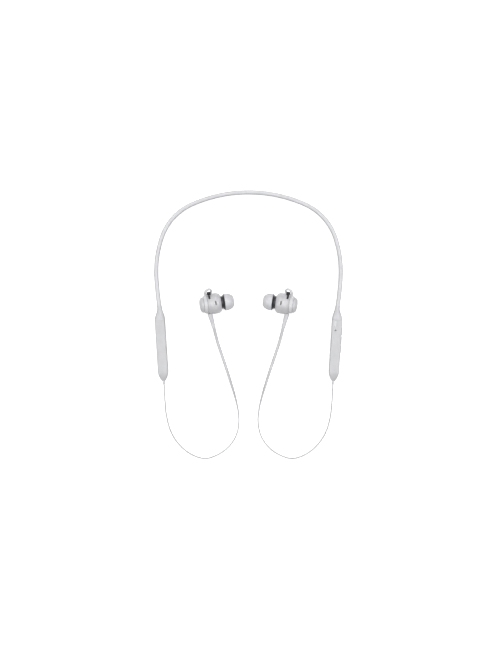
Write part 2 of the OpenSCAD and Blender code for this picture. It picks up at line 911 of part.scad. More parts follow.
// Open umbrella of soft silicone on an oval sleeve.
tip_rear = collar_front + 0.1;
tip_front = 18.6;
module ear_tip(side) {
    crown = tip_front - 3.2;
    shoulder = 12.4;
    bore_r = 2.9;
    sleeve = 4.1;
    color("#e4e4ea") at_bud(side) difference() {
        spin(concat(
            [[0, tip_rear + 1], [sleeve, tip_rear + 1], [sleeve, crown - 0.6]],
            [[tip_r - 1.5, crown - 1.6], [tip_r - 0.6, tip_rear], [tip_r, tip_rear]],
            [for (a = [0:15:75]) [
                bore_r + (tip_r - bore_r) * cos(a),
                shoulder + (tip_front - shoulder) * sin(a)
            ]],
            [[3.4, tip_front], [0, tip_front]]
        ));
        translate([tip_rear, 0, 0]) rotate([90, 0, 90]) linear_extrude(spout_end - tip_rear + 0.1)
            stadium(5.6 + 2 * fit, 3.8 + 2 * fit);
        translate([tip_rear, 0, 0]) rotate([90, 0, 90]) linear_extrude(12) stadium(4.6, 2.8);
    }
}

// ---------------------------------------------------------------- assembly

nape_sheath();
nape_memory_wire();
nape_lead();
arm_sheath(left);  // left_arm_sheath
arm_sheath(right);  // right_arm_sheath
memory_wire(left);  // left_memory_wire
memory_wire(right);  // right_memory_wire
lead(left);  // left_lead
lead(right);  // right_lead
boot(left);  // left_boot
boot(right);  // right_boot
back_cover(left);  // left_back_cover
back_cover(right);  // right_back_cover
front_cover(left);  // left_front_cover
front_cover(right);  // right_front_cover
gland(left);  // left_gland
gland(right);  // right_gland
battery();
battery_pad();
protection_board();
main_board();
radio_module();
side_switches();
key(0);  // volume_up_key
key(1);  // multifunction_key
key(2);  // volume_down_key
light_guide();
microphone();
microphone_seal();
charging_port();
port_flap();
cable(left);  // left_cable
cable(right);  // right_cable
bud_cap(left);  // left_bud_cap
bud_cap(right);  // right_bud_cap
bud_magnet(left);  // left_bud_magnet
bud_magnet(right);  // right_bud_magnet
chassis(left);  // left_chassis
chassis(right);  // right_chassis
ear_ring(left);  // left_ear_ring
ear_ring(right);  // right_ear_ring
drum_shell(left);  // left_drum_shell
drum_shell(right);  // right_drum_shell
driver_basket(left);  // left_driver_basket
driver_basket(right);  // right_driver_basket
driver_motor(left);  // left_driver_motor
driver_motor(right);  // right_driver_motor
diaphragm(left);  // left_diaphragm
diaphragm(right);  // right_diaphragm
nozzle(left);  // left_nozzle
nozzle(right);  // right_nozzle
nozzle_mesh(left);  // left_nozzle_mesh
nozzle_mesh(right);  // right_nozzle_mesh
bud_relief(left);  // left_bud_relief
bud_relief(right);  // right_bud_relief
ear_tip(left);  // left_ear_tip
ear_tip(right);  // right_ear_tip
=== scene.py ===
import json
import math

import bmesh
import bpy
import numpy as np
from mathutils import Matrix, Vector


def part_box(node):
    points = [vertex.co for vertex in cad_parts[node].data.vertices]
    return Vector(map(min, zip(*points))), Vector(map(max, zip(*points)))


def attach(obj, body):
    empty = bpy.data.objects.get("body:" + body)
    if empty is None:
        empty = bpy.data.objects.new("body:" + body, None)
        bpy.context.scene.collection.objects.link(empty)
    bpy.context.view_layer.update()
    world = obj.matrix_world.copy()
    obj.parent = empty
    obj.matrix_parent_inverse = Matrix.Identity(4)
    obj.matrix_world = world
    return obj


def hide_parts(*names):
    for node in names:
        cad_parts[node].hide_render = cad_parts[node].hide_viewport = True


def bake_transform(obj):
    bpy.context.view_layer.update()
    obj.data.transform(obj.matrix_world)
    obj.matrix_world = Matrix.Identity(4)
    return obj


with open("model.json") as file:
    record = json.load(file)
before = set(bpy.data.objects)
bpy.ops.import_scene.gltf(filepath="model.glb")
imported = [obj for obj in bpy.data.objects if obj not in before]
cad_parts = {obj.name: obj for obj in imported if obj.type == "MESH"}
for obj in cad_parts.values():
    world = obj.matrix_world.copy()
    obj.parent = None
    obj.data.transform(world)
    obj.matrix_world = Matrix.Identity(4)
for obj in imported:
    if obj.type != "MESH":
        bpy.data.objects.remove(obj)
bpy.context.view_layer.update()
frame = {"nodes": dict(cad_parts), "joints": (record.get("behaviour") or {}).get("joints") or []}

# Looks of a pair of neckband earphones lying on a table.
# Shapes are drawn in millimetres for the left side and mirrored for the right side.

MM = 0.001
LEFT = "left"
RIGHT = "right"
SIDES = (LEFT, RIGHT)
JOINTS = {joint["name"]: joint for joint in frame["joints"]}


# ---------------------------------------------------------------- places from the frame

def joint_point(name):
    return np.array(JOINTS[name]["pos_m"]) / MM


def joint_axis(name):
    axis = np.array(JOINTS[name]["axis"])
    return axis / np.linalg.norm(axis)


def box_mm(node):
    low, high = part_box(node)
    return np.array(low) / MM, np.array(high) / MM


def box_centre(node):
    low, high = box_mm(node)
    return (low + high) / 2


UP = np.array([0.0, 0.0, 1.0])

# Pod frame: x inwards, y up the pod, z = 0 at mid thickness.
SWING_Y = -31.0
POD_X = joint_axis("volume_up_key_press") * [-1, 1, 1]
POD_Y = np.cross(UP, POD_X)
POD_ORIGIN = joint_point("left_cable_swing") - SWING_Y * POD_Y

# Earbud frame: x along the nozzle, y level, x = 0 where the drum's middle is.
MAGNET_X = -6.5
BUD_X = joint_axis("left_ear_tip_pull")
BUD_Y = np.cross(UP, BUD_X) / np.linalg.norm(np.cross(UP, BUD_X))
BUD_Z = np.cross(BUD_X, BUD_Y)
BUD_ORIGIN = box_centre("left_bud_magnet") - MAGNET_X * BUD_X


def in_pod(points):
    """Points of the left pod's frame in the shared frame."""
    points = np.asarray(points, float)
    return POD_ORIGIN + points @ np.array([POD_X, POD_Y, UP])


def in_bud(points):
    """Points of the left earbud's frame in the shared frame."""
    points = np.asarray(points, float)
    return BUD_ORIGIN + points @ np.array([BUD_X, BUD_Y, BUD_Z])


def turned(points, axis, degrees):
    """Points turned about an axis through the origin."""
    turn = np.array(Matrix.Rotation(math.radians(degrees), 3, axis))
    return np.asarray(points, float) @ turn.T


# ---------------------------------------------------------------- outlines

def fillet(corners, radii, steps=5, closed=False):
    """A polyline with its corners rounded, one radius a corner. A radius of 0 leaves it sharp."""
    corners = [np.array(c, float) for c in corners]
    count = len(corners)
    line = []
    for i, corner in enumerate(corners):
        radius = radii[i]
        at_end = not closed and i in (0, count - 1)
        if radius <= 0 or at_end:
            line.append(corner)
            continue
        back = corners[i - 1] - corner
        ahead = corners[(i + 1) % count] - corner
        reach = min(np.linalg.norm(back), np.linalg.norm(ahead)) / 2
        back = back / np.linalg.norm(back)
        ahead = ahead / np.linalg.norm(ahead)
        half = math.acos(np.clip(back @ ahead, -1, 1)) / 2
        cut = min(radius / math.tan(half), reach)
        start, end = corner + back * cut, corner + ahead * cut
        for s in np.linspace(0, 1, steps + 1):
            line.append((1 - s) ** 2 * start + 2 * s * (1 - s) * corner + s ** 2 * end)
    return np.array(line)


def rounded_rect(half_w, half_h, radius, steps=6):
    """A closed rounded rectangle about the origin, counted from its +x side."""
    points = []
    for quarter in range(4):
        sx = (1, -1, -1, 1)[quarter]
        sy = (1, 1, -1, -1)[quarter]
        for s in np.linspace(0, 90, steps + 1):
            angle = math.radians(s + 90 * quarter)
            points.append((
                sx * (half_w - radius) + radius * math.cos(angle),
                sy * (half_h - radius) + radius * math.sin(angle),
            ))
    return np.array(points)


def superellipse(half_w, half_h, power, count):
    """A closed oval about the origin. A power over 2 makes it squarer."""
    angles = np.linspace(0, 2 * math.pi, count, endpoint=False)
    c, s = np.cos(angles), np.sin(angles)
    x = half_w * np.sign(c) * np.abs(c) ** (2 / power)
    y = half_h * np.sign(s) * np.abs(s) ** (2 / power)
    return np.stack([x, y], 1)


def smooth(t):
    """Eases from 0 to 1."""
    t = np.clip(t, 0, 1)
    return t * t * (3 - 2 * t)


# ---------------------------------------------------------------- meshes

class Shape:
    """Points in millimetres and faces, gathered before they become a piece."""

    def __init__(self):
        self.points = []
        self.faces = []

    def add(self, points, faces):
        start = len(self.points)
        self.points.extend(np.asarray(points, float).tolist())
        self.faces.extend([tuple(start + i for i in face) for face in faces])
        return self

    def loft(self, rings, caps=True, loop=False):
        """Joins rings of equal length. With loop, the last ring joins the first."""
        rings = np.asarray(rings, float)
        rows, count = rings.shape[:2]
        faces = []
        last_row = rows if loop else rows - 1
        for r in range(last_row):
            for i in range(count):
                a, b = r * count, ((r + 1) % rows) * count
                j = (i + 1) % count
                faces.append((a + i, a + j, b + j, b + i))
        if caps and not loop:
            faces.append(tuple(range(count)))
            faces.append(tuple((rows - 1) * count + i for i in range(count)))
        return self.add(rings.reshape(-1, 3), faces)

    def lathe(self, profile, to_world, turns=96, loop=False, flat=None):
        """Turns (x, radius) points about the x axis. flat gives a z scale for each point."""
        angles = np.linspace(0, 2 * math.pi, turns, endpoint=False)
        rings = []
        for i, (x, radius) in enumerate(profile):
            squeeze = 1 if flat is None else flat[i]
            ring = [(x, radius * math.cos(a), radius * squeeze * math.sin(a)) for a in angles]
            rings.append(to_world(ring))
        return self.loft(rings, caps=False, loop=loop)


def mesh_object(name, shape, side=LEFT):
    """An object in millimetres with outward normals."""
    points = np.array(shape.points)
    if side == RIGHT:
        points = points * [-1, 1, 1]
    mesh = bpy.data.meshes.new(name)
    mesh.from_pydata(points.tolist(), [], shape.faces)
    work = bmesh.new()
    work.from_mesh(mesh)
    bmesh.ops.remove_doubles(work, verts=work.verts, dist=1e-5)
    bmesh.ops.recalc_face_normals(work, faces=work.faces)
    work.to_mesh(mesh)
    work.free()
    thing = bpy.data.objects.new(name, mesh)
    bpy.context.scene.collection.objects.link(thing)
    return thing


def apply_modifiers(thing):
    graph = bpy.context.evaluated_depsgraph_get()
    graph.update()
    mesh = bpy.data.meshes.new_from_object(thing.evaluated_get(graph))
    thing.modifiers.clear()
    old = thing.data
    thing.data = mesh
    bpy.data.meshes.remove(old)


def cut(thing, cutters):
    """Takes the cutters out of a thing and deletes them."""
    for cutter in cutters:
        step = thing.modifiers.new("cut", "BOOLEAN")
        step.operation = "DIFFERENCE"
        step.solver = "EXACT"
        step.object = cutter
    apply_modifiers(thing)
    for cutter in cutters:
        bpy.data.objects.remove(cutter)


def finish_piece(thing, material, body, stands_for=(), sharp=40):
    """Scales a thing to metres, gives it its material and ties it to its body."""
    thing.data.transform(Matrix.Scale(MM, 4))
    thing.data.shade_smooth()
    thing.data.set_sharp_from_angle(angle=math.radians(sharp))
    thing.data.materials.clear()
    thing.data.materials.append(material)
    if stands_for:
        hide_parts(*stands_for)
    if body:
        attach(thing, body)
    return thing


def piece(name, shape, material, body, stands_for=(), side=LEFT, sharp=40):
    thing = mesh_object(name, shape, side)
    return finish_piece(thing, material, body, stands_for, sharp)


# ---------------------------------------------------------------- materials
# Colours are linear. Grain sizes are in millimetres and relief depths in micrometres.

TEXTURE_LOW = 0.3
TEXTURE_HIGH = 0.7


class Paint:
    """A Principled material with short calls for its textures."""

    def __init__(self, name, colour, roughness, **values):
        self.material = bpy.data.materials.new(name)
        self.material.use_nodes = True
        self.material.diffuse_color = (*colour, 1)
        self.tree = self.material.node_tree
        self.shader = self.tree.nodes["Principled BSDF"]
        self.shader.inputs["Base Color"].default_value = (*colour, 1)
        self.shader.inputs["Roughness"].default_value = roughness
        self.colour = colour
        self.bumps = []
        for key, value in values.items():
            label = key.replace("_", " ").title().replace("Ior", "IOR")
            self.shader.inputs[label].default_value = value
        self.place = self.tree.nodes.new("ShaderNodeTexCoord").outputs["Object"]

    def link(self, output, node_input):
        self.tree.links.new(output, node_input)

    def noise(self, size, detail=3, stretch=(1, 1, 1)):
        """Noise whose grains are about size millimetres wide."""
        mapping = self.tree.nodes.new("ShaderNodeMapping")
        scale = 1 / (size * MM)
        mapping.inputs["Scale"].default_value = [scale / s for s in stretch]
        self.link(self.place, mapping.inputs["Vector"])
        texture = self.tree.nodes.new("ShaderNodeTexNoise")
        texture.inputs["Scale"].default_value = 1
        texture.inputs["Detail"].default_value = detail
        self.link(mapping.outputs["Vector"], texture.inputs["Vector"])
        return texture.outputs["Fac"]

    def spots(self, size):
        """Small cells, bright at their middles."""
        mapping = self.tree.nodes.new("ShaderNodeMapping")
        mapping.inputs["Scale"].default_value = [1 / (size * MM)] * 3
        self.link(self.place, mapping.inputs["Vector"])
        texture = self.tree.nodes.new("ShaderNodeTexVoronoi")
        texture.inputs["Scale"].default_value = 1
        self.link(mapping.outputs["Vector"], texture.inputs["Vector"])
        return texture.outputs["Distance"]

    def spread(self, value, low, high):
        """Maps the middle of a texture's range onto low to high."""
        node = self.tree.nodes.new("ShaderNodeMapRange")
        node.inputs["From Min"].default_value = TEXTURE_LOW
        node.inputs["From Max"].default_value = TEXTURE_HIGH
        node.inputs["To Min"].default_value = low
        node.inputs["To Max"].default_value = high
        self.link(value, node.inputs["Value"])
        return node.outputs["Result"]

    def tone(self, value, darker, lighter=1.0):
        """Varies the colour from darker to lighter times the base colour."""
        ramp = self.tree.nodes.new("ShaderNodeValToRGB")
        ramp.color_ramp.elements[0].position = TEXTURE_LOW
        ramp.color_ramp.elements[0].color = (*[c * darker for c in self.colour], 1)
        ramp.color_ramp.elements[1].position = TEXTURE_HIGH
        ramp.color_ramp.elements[1].color = (*[min(1, c * lighter) for c in self.colour], 1)
        self.link(value, ramp.inputs["Fac"])
        self.link(ramp.outputs["Color"], self.shader.inputs["Base Color"])

    def gloss(self, value, low, high):
        """Varies the roughness from low to high."""
        self.link(self.spread(value, low, high), self.shader.inputs["Roughness"])

    def relief(self, value, depth_um):
        """Adds a bump depth_um micrometres deep."""
        node = self.tree.nodes.new("ShaderNodeBump")
        node.inputs["Distance"].default_value = depth_um * 1e-6
        node.inputs["Strength"].default_value = 1.0
        self.link(value, node.inputs["Height"])
        if self.bumps:
            self.link(self.bumps[-1].outputs["Normal"], node.inputs["Normal"])
        self.bumps.append(node)
        self.link(node.outputs["Normal"], self.shader.inputs["Normal"])


def silicone_paint(name, colour, roughness, grain=0.16, depth=6):
    """Soft silicone: a fine even grain, a slow waviness and faint dust."""
    paint = Paint(name, colour, roughness, specular_ior_level=0.4, sheen_weight=0.12, sheen_roughness=0.4)
    paint.tone(paint.noise(2.4, 6), 0.955, 1.03)
    paint.gloss(paint.noise(0.7, 5), roughness - 0.07, roughness + 0.08)
    paint.relief(paint.noise(grain, 2), depth)
    paint.relief(paint.noise(3.1, 2), 18)
    return paint.material


def textured_plastic_paint(name, colour):
    """Moulded plastic with a spark-eroded texture and slightly polished high spots."""
    paint = Paint(name, colour, 0.42, specular_ior_level=0.5)
    paint.tone(paint.noise(5.0, 6), 0.965, 1.025)
    paint.gloss(paint.noise(0.35, 4), 0.34, 0.5)
    paint.relief(paint.noise(0.11, 2), 8)
    paint.relief(paint.spots(0.2), 3)
    return paint.material


def gloss_plastic_paint(name, colour):
    """Polished plastic: faint orange peel and hair-fine scuffs."""
    paint = Paint(name, colour, 0.34, coat_weight=0.12, coat_roughness=0.15, specular_ior_level=0.5)
    paint.tone(paint.noise(4.0, 5), 0.97, 1.02)
    paint.gloss(paint.noise(0.5, 6, (6, 1, 1)), 0.28, 0.42)
    paint.relief(paint.noise(0.9, 2), 5)
    return paint.material


def cable_paint(name, colour):
    """Extruded jacket: satin, with a faint lengthwise waviness."""
    paint = Paint(name, colour, 0.4, specular_ior_level=0.45)
    paint.tone(paint.noise(3.5, 5), 0.96, 1.03)
    paint.gloss(paint.noise(0.6, 4, (1, 5, 1)), 0.33, 0.47)
    paint.relief(paint.noise(0.25, 3, (1, 6, 1)), 7)
    return paint.material


def black_plastic_paint(name):
    """Dark plastic with a fine grain."""
    paint = Paint(name, (0.028, 0.028, 0.034), 0.36, specular_ior_level=0.5)
    paint.tone(paint.noise(1.5, 5), 0.8, 1.25)
    paint.gloss(paint.noise(0.4, 4), 0.3, 0.45)
    paint.relief(paint.noise(0.1, 2), 6)
    return paint.material


def metal_paint(name, colour, roughness, stretch):
    """Drawn or rolled metal, with its marks along one direction."""
    paint = Paint(name, colour, roughness, metallic=1.0)
    paint.tone(paint.noise(1.2, 5), 0.88, 1.06)
    paint.gloss(paint.noise(0.12, 5, stretch), roughness - 0.1, roughness + 0.14)
    paint.relief(paint.noise(0.1, 4, stretch), 4)
    return paint.material


def board_paint(name):
    """Circuit board: solder resist with tracks and a faint weave."""
    paint = Paint(name, (0.03, 0.17, 0.08), 0.35, specular_ior_level=0.5)
    paint.tone(paint.spots(0.9), 0.7, 1.3)
    paint.gloss(paint.noise(0.3, 3), 0.28, 0.45)
    paint.relief(paint.spots(0.5), 20)
    return paint.material


def foam_paint(name):
    """Open foam: dark, dull and pitted."""
    paint = Paint(name, (0.035, 0.035, 0.038), 0.95)
    paint.tone(paint.spots(0.25), 0.6, 1.5)
    paint.gloss(paint.noise(0.3, 3), 0.85, 1.0)
    paint.relief(paint.spots(0.18), 60)
    return paint.material


def lens_paint(name):
    """Frosted light window."""
    paint = Paint(name, (0.66, 0.66, 0.68), 0.34, transmission_weight=0.1, specular_ior_level=0.5)
    paint.tone(paint.noise(0.8, 3), 0.97, 1.02)
    paint.gloss(paint.noise(0.2, 3), 0.25, 0.4)
    paint.relief(paint.noise(0.15, 2), 3)
    return paint.material


def floor_paint(name):
    paint = Paint(name, (0.93, 0.93, 0.93), 0.85, specular_ior_level=0.1, emission_strength=0.6)
    paint.shader.inputs["Emission Color"].default_value = (1, 1, 1, 1)
    paint.tone(paint.noise(60, 3), 0.995, 1.0)
    paint.gloss(paint.noise(20, 3), 0.8, 0.9)
    paint.relief(paint.noise(1.0, 3), 15)
    return paint.material


BAND = silicone_paint("band_silicone", (0.61, 0.61, 0.63), 0.5)
BOOT = silicone_paint("boot_silicone", (0.56, 0.56, 0.58), 0.5, grain=0.14)
SOFT = silicone_paint("soft_silicone", (0.62, 0.62, 0.64), 0.46, grain=0.12, depth=5)
SLEEVE = silicone_paint("sleeve_silicone", (0.6, 0.6, 0.62), 0.46, grain=0.12, depth=5)
TIP = silicone_paint("tip_silicone", (0.6, 0.6, 0.625), 0.38, grain=0.2, depth=4)
POD = textured_plastic_paint("pod_plastic", (0.5, 0.5, 0.515))
BUD = gloss_plastic_paint("bud_plastic", (0.54, 0.54, 0.56))
CABLE = cable_paint("cable_jacket", (0.5, 0.5, 0.515))
BLACK = black_plastic_paint("black_plastic")
LENS = lens_paint("light_lens")
STEEL = metal_paint("sheet_steel", (0.56, 0.56, 0.57), 0.34, (8, 1, 1))
WIRE = metal_paint("spring_wire", (0.5, 0.5, 0.52), 0.3, (1, 12, 1))
COPPER = metal_paint("copper", (0.72, 0.36, 0.18), 0.3, (1, 12, 1))
FOIL = metal_paint("battery_foil", (0.66, 0.66, 0.68), 0.32, (1, 4, 1))
BOARD = board_paint("circuit_board")
FOAM = foam_paint("foam")
FLOOR = floor_paint("floor")


# ---------------------------------------------------------------- camera, light and floor

CAMERA_HEIGHT = 0.75
FRAME_H = 0.52
CENTRE_X = 0.0012
CENTRE_Y = -0.03
WORLD_STRENGTH = 0.29
FLOOR_REACH = 6000


def camera():
    """Camera straight above, whose picture is FRAME_H metres high at the table."""
    data = bpy.data.cameras.new("camera")
    data.sensor_fit = "VERTICAL"
    data.sensor_height = 36
    data.lens = data.sensor_height * CAMERA_HEIGHT / FRAME_H
    data.clip_start = 0.01
    thing = bpy.data.objects.new("camera", data)
    thing.location = (CENTRE_X, CENTRE_Y, CAMERA_HEIGHT)
    bpy.context.scene.collection.objects.link(thing)
    bpy.context.scene.camera = thing


def area_light(name, place, aim, size, watts):
    """A rectangular lamp. Places and sizes are in metres."""
    data = bpy.data.lights.new(name, "AREA")
    data.shape = "RECTANGLE"
    data.size, data.size_y = size
    data.energy = watts
    data.color = (1, 1, 1)
    thing = bpy.data.objects.new(name, data)
    thing.location = place
    thing.rotation_euler = (Vector(aim) - Vector(place)).to_track_quat("-Z", "Y").to_euler()
    bpy.context.scene.collection.objects.link(thing)


def lights():
    world = bpy.data.worlds.new("studio")
    world.use_nodes = True
    background = world.node_tree.nodes["Background"]
    background.inputs["Color"].default_value = (1, 1, 1, 1)
    background.inputs["Strength"].default_value = WORLD_STRENGTH
    bpy.context.scene.world = world
    area_light("softbox", (0, 0.04, 1.4), (0, 0, 0), (1.3, 1.3), 13)
    area_light("back", (0, 0.8, 0.8), (0, 0, 0), (0.9, 0.4), 2.5)
    area_light("left_strip", (-0.55, 0, 0.7), (-0.05, 0, 0), (0.12, 1.0), 1.7)
    area_light("right_strip", (0.55, 0, 0.7), (0.05, 0, 0), (0.12, 1.0), 1.7)


def floor():
    """White table top, too bright to show a shadow. It throws no light onto the object's sides."""
    reach = FLOOR_REACH
    shape = Shape().add(
        [(-reach, -reach, 0), (reach, -reach, 0), (reach, reach, 0), (-reach, reach, 0)],
        [(0, 1, 2, 3)],
    )
    thing = mesh_object("floor", shape)
    thing.data.transform(Matrix.Scale(MM, 4))
    thing.data.materials.append(FLOOR)
    thing.visible_diffuse = False


# ---------------------------------------------------------------- cables
# Route of the left cable: [x, y, z, turn] in metres and degrees, 0 on edge and 90 lying flat.

CABLE_ROUTE = [
    [-0.0671, -0.0774, 0.0042, 0],
    [-0.0668, -0.0836, 0.004, 0],
    [-0.06645, -0.0916, 0.0032, 0],
    [-0.0654, -0.1026, 0.002, 0],
    [-0.0623, -0.1142, 0.0014, 0],
    [-0.0564, -0.1242, 0.0013, 0],
    [-0.0472, -0.1324, 0.0013, 0],
    [-0.0354, -0.1366, 0.0013, 0],
    [-0.0246, -0.1336, 0.0013, 0],
    [-0.0156, -0.127, 0.0013, 0],
    [-0.0098, -0.118, 0.0013, 0],
    [-0.0077, -0.1076, 0.0013, 0],
    [-0.0084, -0.0976, 0.0013, 10],
    [-0.0106, -0.0876, 0.0012, 30],
    [-0.0139, -0.0766, 0.00095, 55],
    [-0.0174, -0.0656, 0.0007, 75],
    [-0.0211, -0.0546, 0.00075, 85],
    [-0.0244, -0.0446, 0.0012, 88],
    [-0.0263, -0.0374, 0.0026, 90],
    [-0.028, -0.0303, 0.00446, 90],
]
CABLE_W = 2.5
CABLE_T = 1.0
CABLE_STEPS = 8


def curve_points(route, steps):
    """Catmull-Rom curve through a route."""
    route = np.array(route)
    last = len(route) - 1
    points = []
    for k in range(last):
        a, b, c, d = (route[min(max(k + i, 0), last)] for i in (-1, 0, 1, 2))
        for s in range(steps):
            t = s / steps
            points.append(0.5 * (
                2 * b + (c - a) * t
                + (2 * a - 5 * b + 4 * c - d) * t * t
                + (3 * b - a - 3 * c + d) * t ** 3
            ))
    points.append(route[last])
    return np.array(points)


def cable_rings(points, outline):
    """Rings of the flat section, turned along the route."""
    rings = []
    last = len(points) - 1
    for i, point in enumerate(points):
        ahead = points[min(i + 1, last)][:3] - points[max(i - 1, 0)][:3]
        ahead = ahead / np.linalg.norm(ahead)
        level = np.array([-ahead[1], ahead[0], 0])
        level = level / np.linalg.norm(level)
        upright = np.cross(ahead, level)
        turn = math.radians(point[3])
        wide = math.cos(turn) * upright + math.sin(turn) * level
        thin = math.cos(turn) * level - math.sin(turn) * upright
        rings.append(point[:3] + outline[:, :1] * wide + outline[:, 1:] * thin)
    return rings


def cable(side):
    """A flat cable from the gland's swing axis to the strain relief's socket."""
    route = np.array(CABLE_ROUTE) / [MM, MM, MM, 1]
    points = curve_points(route, CABLE_STEPS)
    start = np.append(joint_point("left_cable_swing"), 0)
    points = np.concatenate([[start], points])
    outline = superellipse(CABLE_W / 2, CABLE_T / 2, 2.6, 20)
    shape = Shape().loft(cable_rings(points, outline))
    thing = piece(f"{side}_flat_cable", shape, CABLE, f"{side}_earbud",
                  [f"{side}_cable"], side)


# ---------------------------------------------------------------- neckband
# Four tangent arcs: radius and sweep in degrees, from the nape to the boot.

BAND_ARCS = [(111, 24), (44, 48), (88, 22), (278, 4.3)]
BAND_W = 3.5
BAND_H = 4.6
BAND_SINK = 1.5
BAND_STEP = 1.2
FLEX_H = 48
FLEX_BLEND = 23


def out_of(h):
    """Outward direction of the band where it heads h degrees from the nape."""
    return np.array([-math.sin(math.radians(h)), math.cos(math.radians(h)), 0])


def band_lines():
    """(position, outward direction) along the left half of the band, from the nape."""
    top = box_mm("nape_sheath")[1][1] - BAND_W / 2
    z = joint_point("left_arm_flex")[2]
    centre = np.array([0, top - BAND_ARCS[0][0], z])
    lines, h = [], 0
    for k, (radius, sweep) in enumerate(BAND_ARCS):
        if k:
            centre = centre + (BAND_ARCS[k - 1][0] - radius) * out_of(h)
        count = round(radius * math.radians(sweep) / BAND_STEP)
        for i in range(count):
            turn = h + sweep * i / count
            lines.append((centre + radius * out_of(turn), out_of(turn), turn))
        h += sweep
    lines.append((centre + BAND_ARCS[-1][0] * out_of(h), out_of(h), h))
    return lines


def band_outline():
    """The band's section: an oval with a fine moulding ridge at each side."""
    outline = superellipse(BAND_W / 2, BAND_H / 2, 2.25, 40)
    ridge = np.exp(-((outline[:, 1] / 0.14) ** 2)) * 0.035
    outline[:, 0] += np.sign(outline[:, 0]) * ridge
    return outline


def band_point(h):
    """Middle of the band where its heading from the nape is nearest to h degrees."""
    line = min(band_lines(), key=lambda item: abs(item[2] - h))
    return line[0]


def band(side):
    """Half of the band, from the nape into the boot."""
    lines = band_lines()
    outline = band_outline()
    end, out, heading = lines[-1]
    lines.append((end + BAND_SINK * np.cross(UP, out), out, heading))
    rings = [p + outline[:, :1] * o + outline[:, 1:] * UP for p, o, _ in lines]
    shape = Shape().loft(rings)
    thing = piece(f"{side}_band", shape, BAND, None, [f"{side}_arm_sheath"], side)
    mirror = np.array([-1 if side == RIGHT else 1, 1, 1]) * MM
    band_point(FLEX_H - FLEX_BLEND) * mirror
    band_point(FLEX_H + FLEX_BLEND) * mirror
    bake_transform(thing)
    if side == LEFT:
        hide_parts("nape_sheath")


# ---------------------------------------------------------------- pods

POD_W = 8.0
POD_T = 8.4
POD_EDGE = 2.2
POD_WALL = 1.0
POD_TOP = 19.5
TAPER_TOP = -22.6
POD_TIP = -29.0
TIP_HALF_W = 1.3
TIP_HALF_T = 1.9
TAPER_START = TAPER_TOP + 1
TAPER_POWER = 1.9
TIP_BORE_W = 1.0
TIP_BORE_T = 1.65
PARTING_Z = 2.0
SEAM = 0.06
END_ROUND = 0.1
EDGE_CUT = 1.12


def pod_halves(y):
    """Half width, half thickness and edge radius of the pod at y."""
    fall = np.clip((TAPER_START - y) / (TAPER_START - POD_TIP), 0, 1) ** TAPER_POWER
    half_w = POD_W / 2 + (TIP_HALF_W - POD_W / 2) * fall
    half_t = POD_T / 2 + (TIP_HALF_T - POD_T / 2) * fall
    edge = min(POD_EDGE, half_w * 0.8, half_t * 0.8)
    return half_w, half_t, edge


def pod_stations():
    """Values of y from the pod's top to its tip, close together over the taper."""
    straight = np.linspace(POD_TOP - 0.12, TAPER_START, 16, endpoint=False)
    turn = np.radians(np.linspace(0, 90, 26))
    taper = TAPER_START - (TAPER_START - POD_TIP) * np.sin(turn)
    return np.concatenate([[POD_TOP], straight, taper])


def cover_outline(facing, half_w, half_t, edge, wall):
    """Section of a cover, round outside and back inside. Facing is 1 for the front, -1 for the back."""
    split = PARTING_Z * half_t / (POD_T / 2) + facing * SEAM
    lip = 0.12
    w, t = facing * half_w, facing * half_t
    outer = fillet(
        [(w - facing * lip, split), (w, split), (w, t), (-w, t), (-w, split), (facing * lip - w, split)],
        [0, lip, edge * EDGE_CUT, edge * EDGE_CUT, lip, 0], 8)
    w, t = facing * (half_w - wall), facing * (half_t - wall)
    hollow = max(edge - wall, 0.1)
    inner = fillet([(-w, split), (-w, t), (w, t), (w, split)], [0, hollow, hollow, 0], 4)
    return np.concatenate([outer, inner])


def cover(side, facing):
    """A cover as a shell along the pod."""
    rings = []
    for y in pod_stations():
        half_w, half_t, edge = pod_halves(y)
        if y == POD_TOP:
            half_w, half_t = half_w - END_ROUND, half_t - END_ROUND
        wall = min(POD_WALL, half_w - TIP_BORE_W, half_t - TIP_BORE_T)
        outline = cover_outline(facing, half_w, half_t, edge, wall)
        rings.append(in_pod([(x, y, z) for x, z in outline]))
    return mesh_object("cover", Shape().loft(rings), side)


def prism(outline, low, high, along, at):
    """An outline pushed from low to high along the pod's x or z axis, through the point at."""
    rings = []
    for level in (low, high):
        if along == "x":
            ring = [(level, at[0] + u, at[1] + v) for u, v in outline]
        else:
            ring = [(at[0] + u, at[1] + v, level) for u, v in outline]
        rings.append(in_pod(ring))
    return Shape().loft(rings)


BOOT_ROWS = 34
BOOT_LIP = 0.12
KEY_Y = {"volume_up_key": 10.5, "multifunction_key": 3.4, "volume_down_key": -3.7}
KEY_Z = -0.1
KEY_LEN = 6.2
KEY_H = 2.6
KEY_PROUD = 0.6
PORT_Y = -14.5
PORT_Z = 0.3
FLAP_W = 10.4
FLAP_H = 3.2
FLAP_T = 0.6
SOCKET_W = 7.6
SOCKET_H = 2.8
FLAP_HINGE_X = POD_W / 2 - 0.25
FLAP_HINGE_Y = PORT_Y + FLAP_W / 2
LIGHT_AT = (1.4, 16.4)
LIGHT_LEN = 4.4
LIGHT_W = 1.7
MIC_AT = (1.0, 11.2)
MIC_R = 0.6


def key_outline(grow):
    return rounded_rect(KEY_LEN / 2 + grow, KEY_H / 2 + grow, 1.2 + grow, 8)


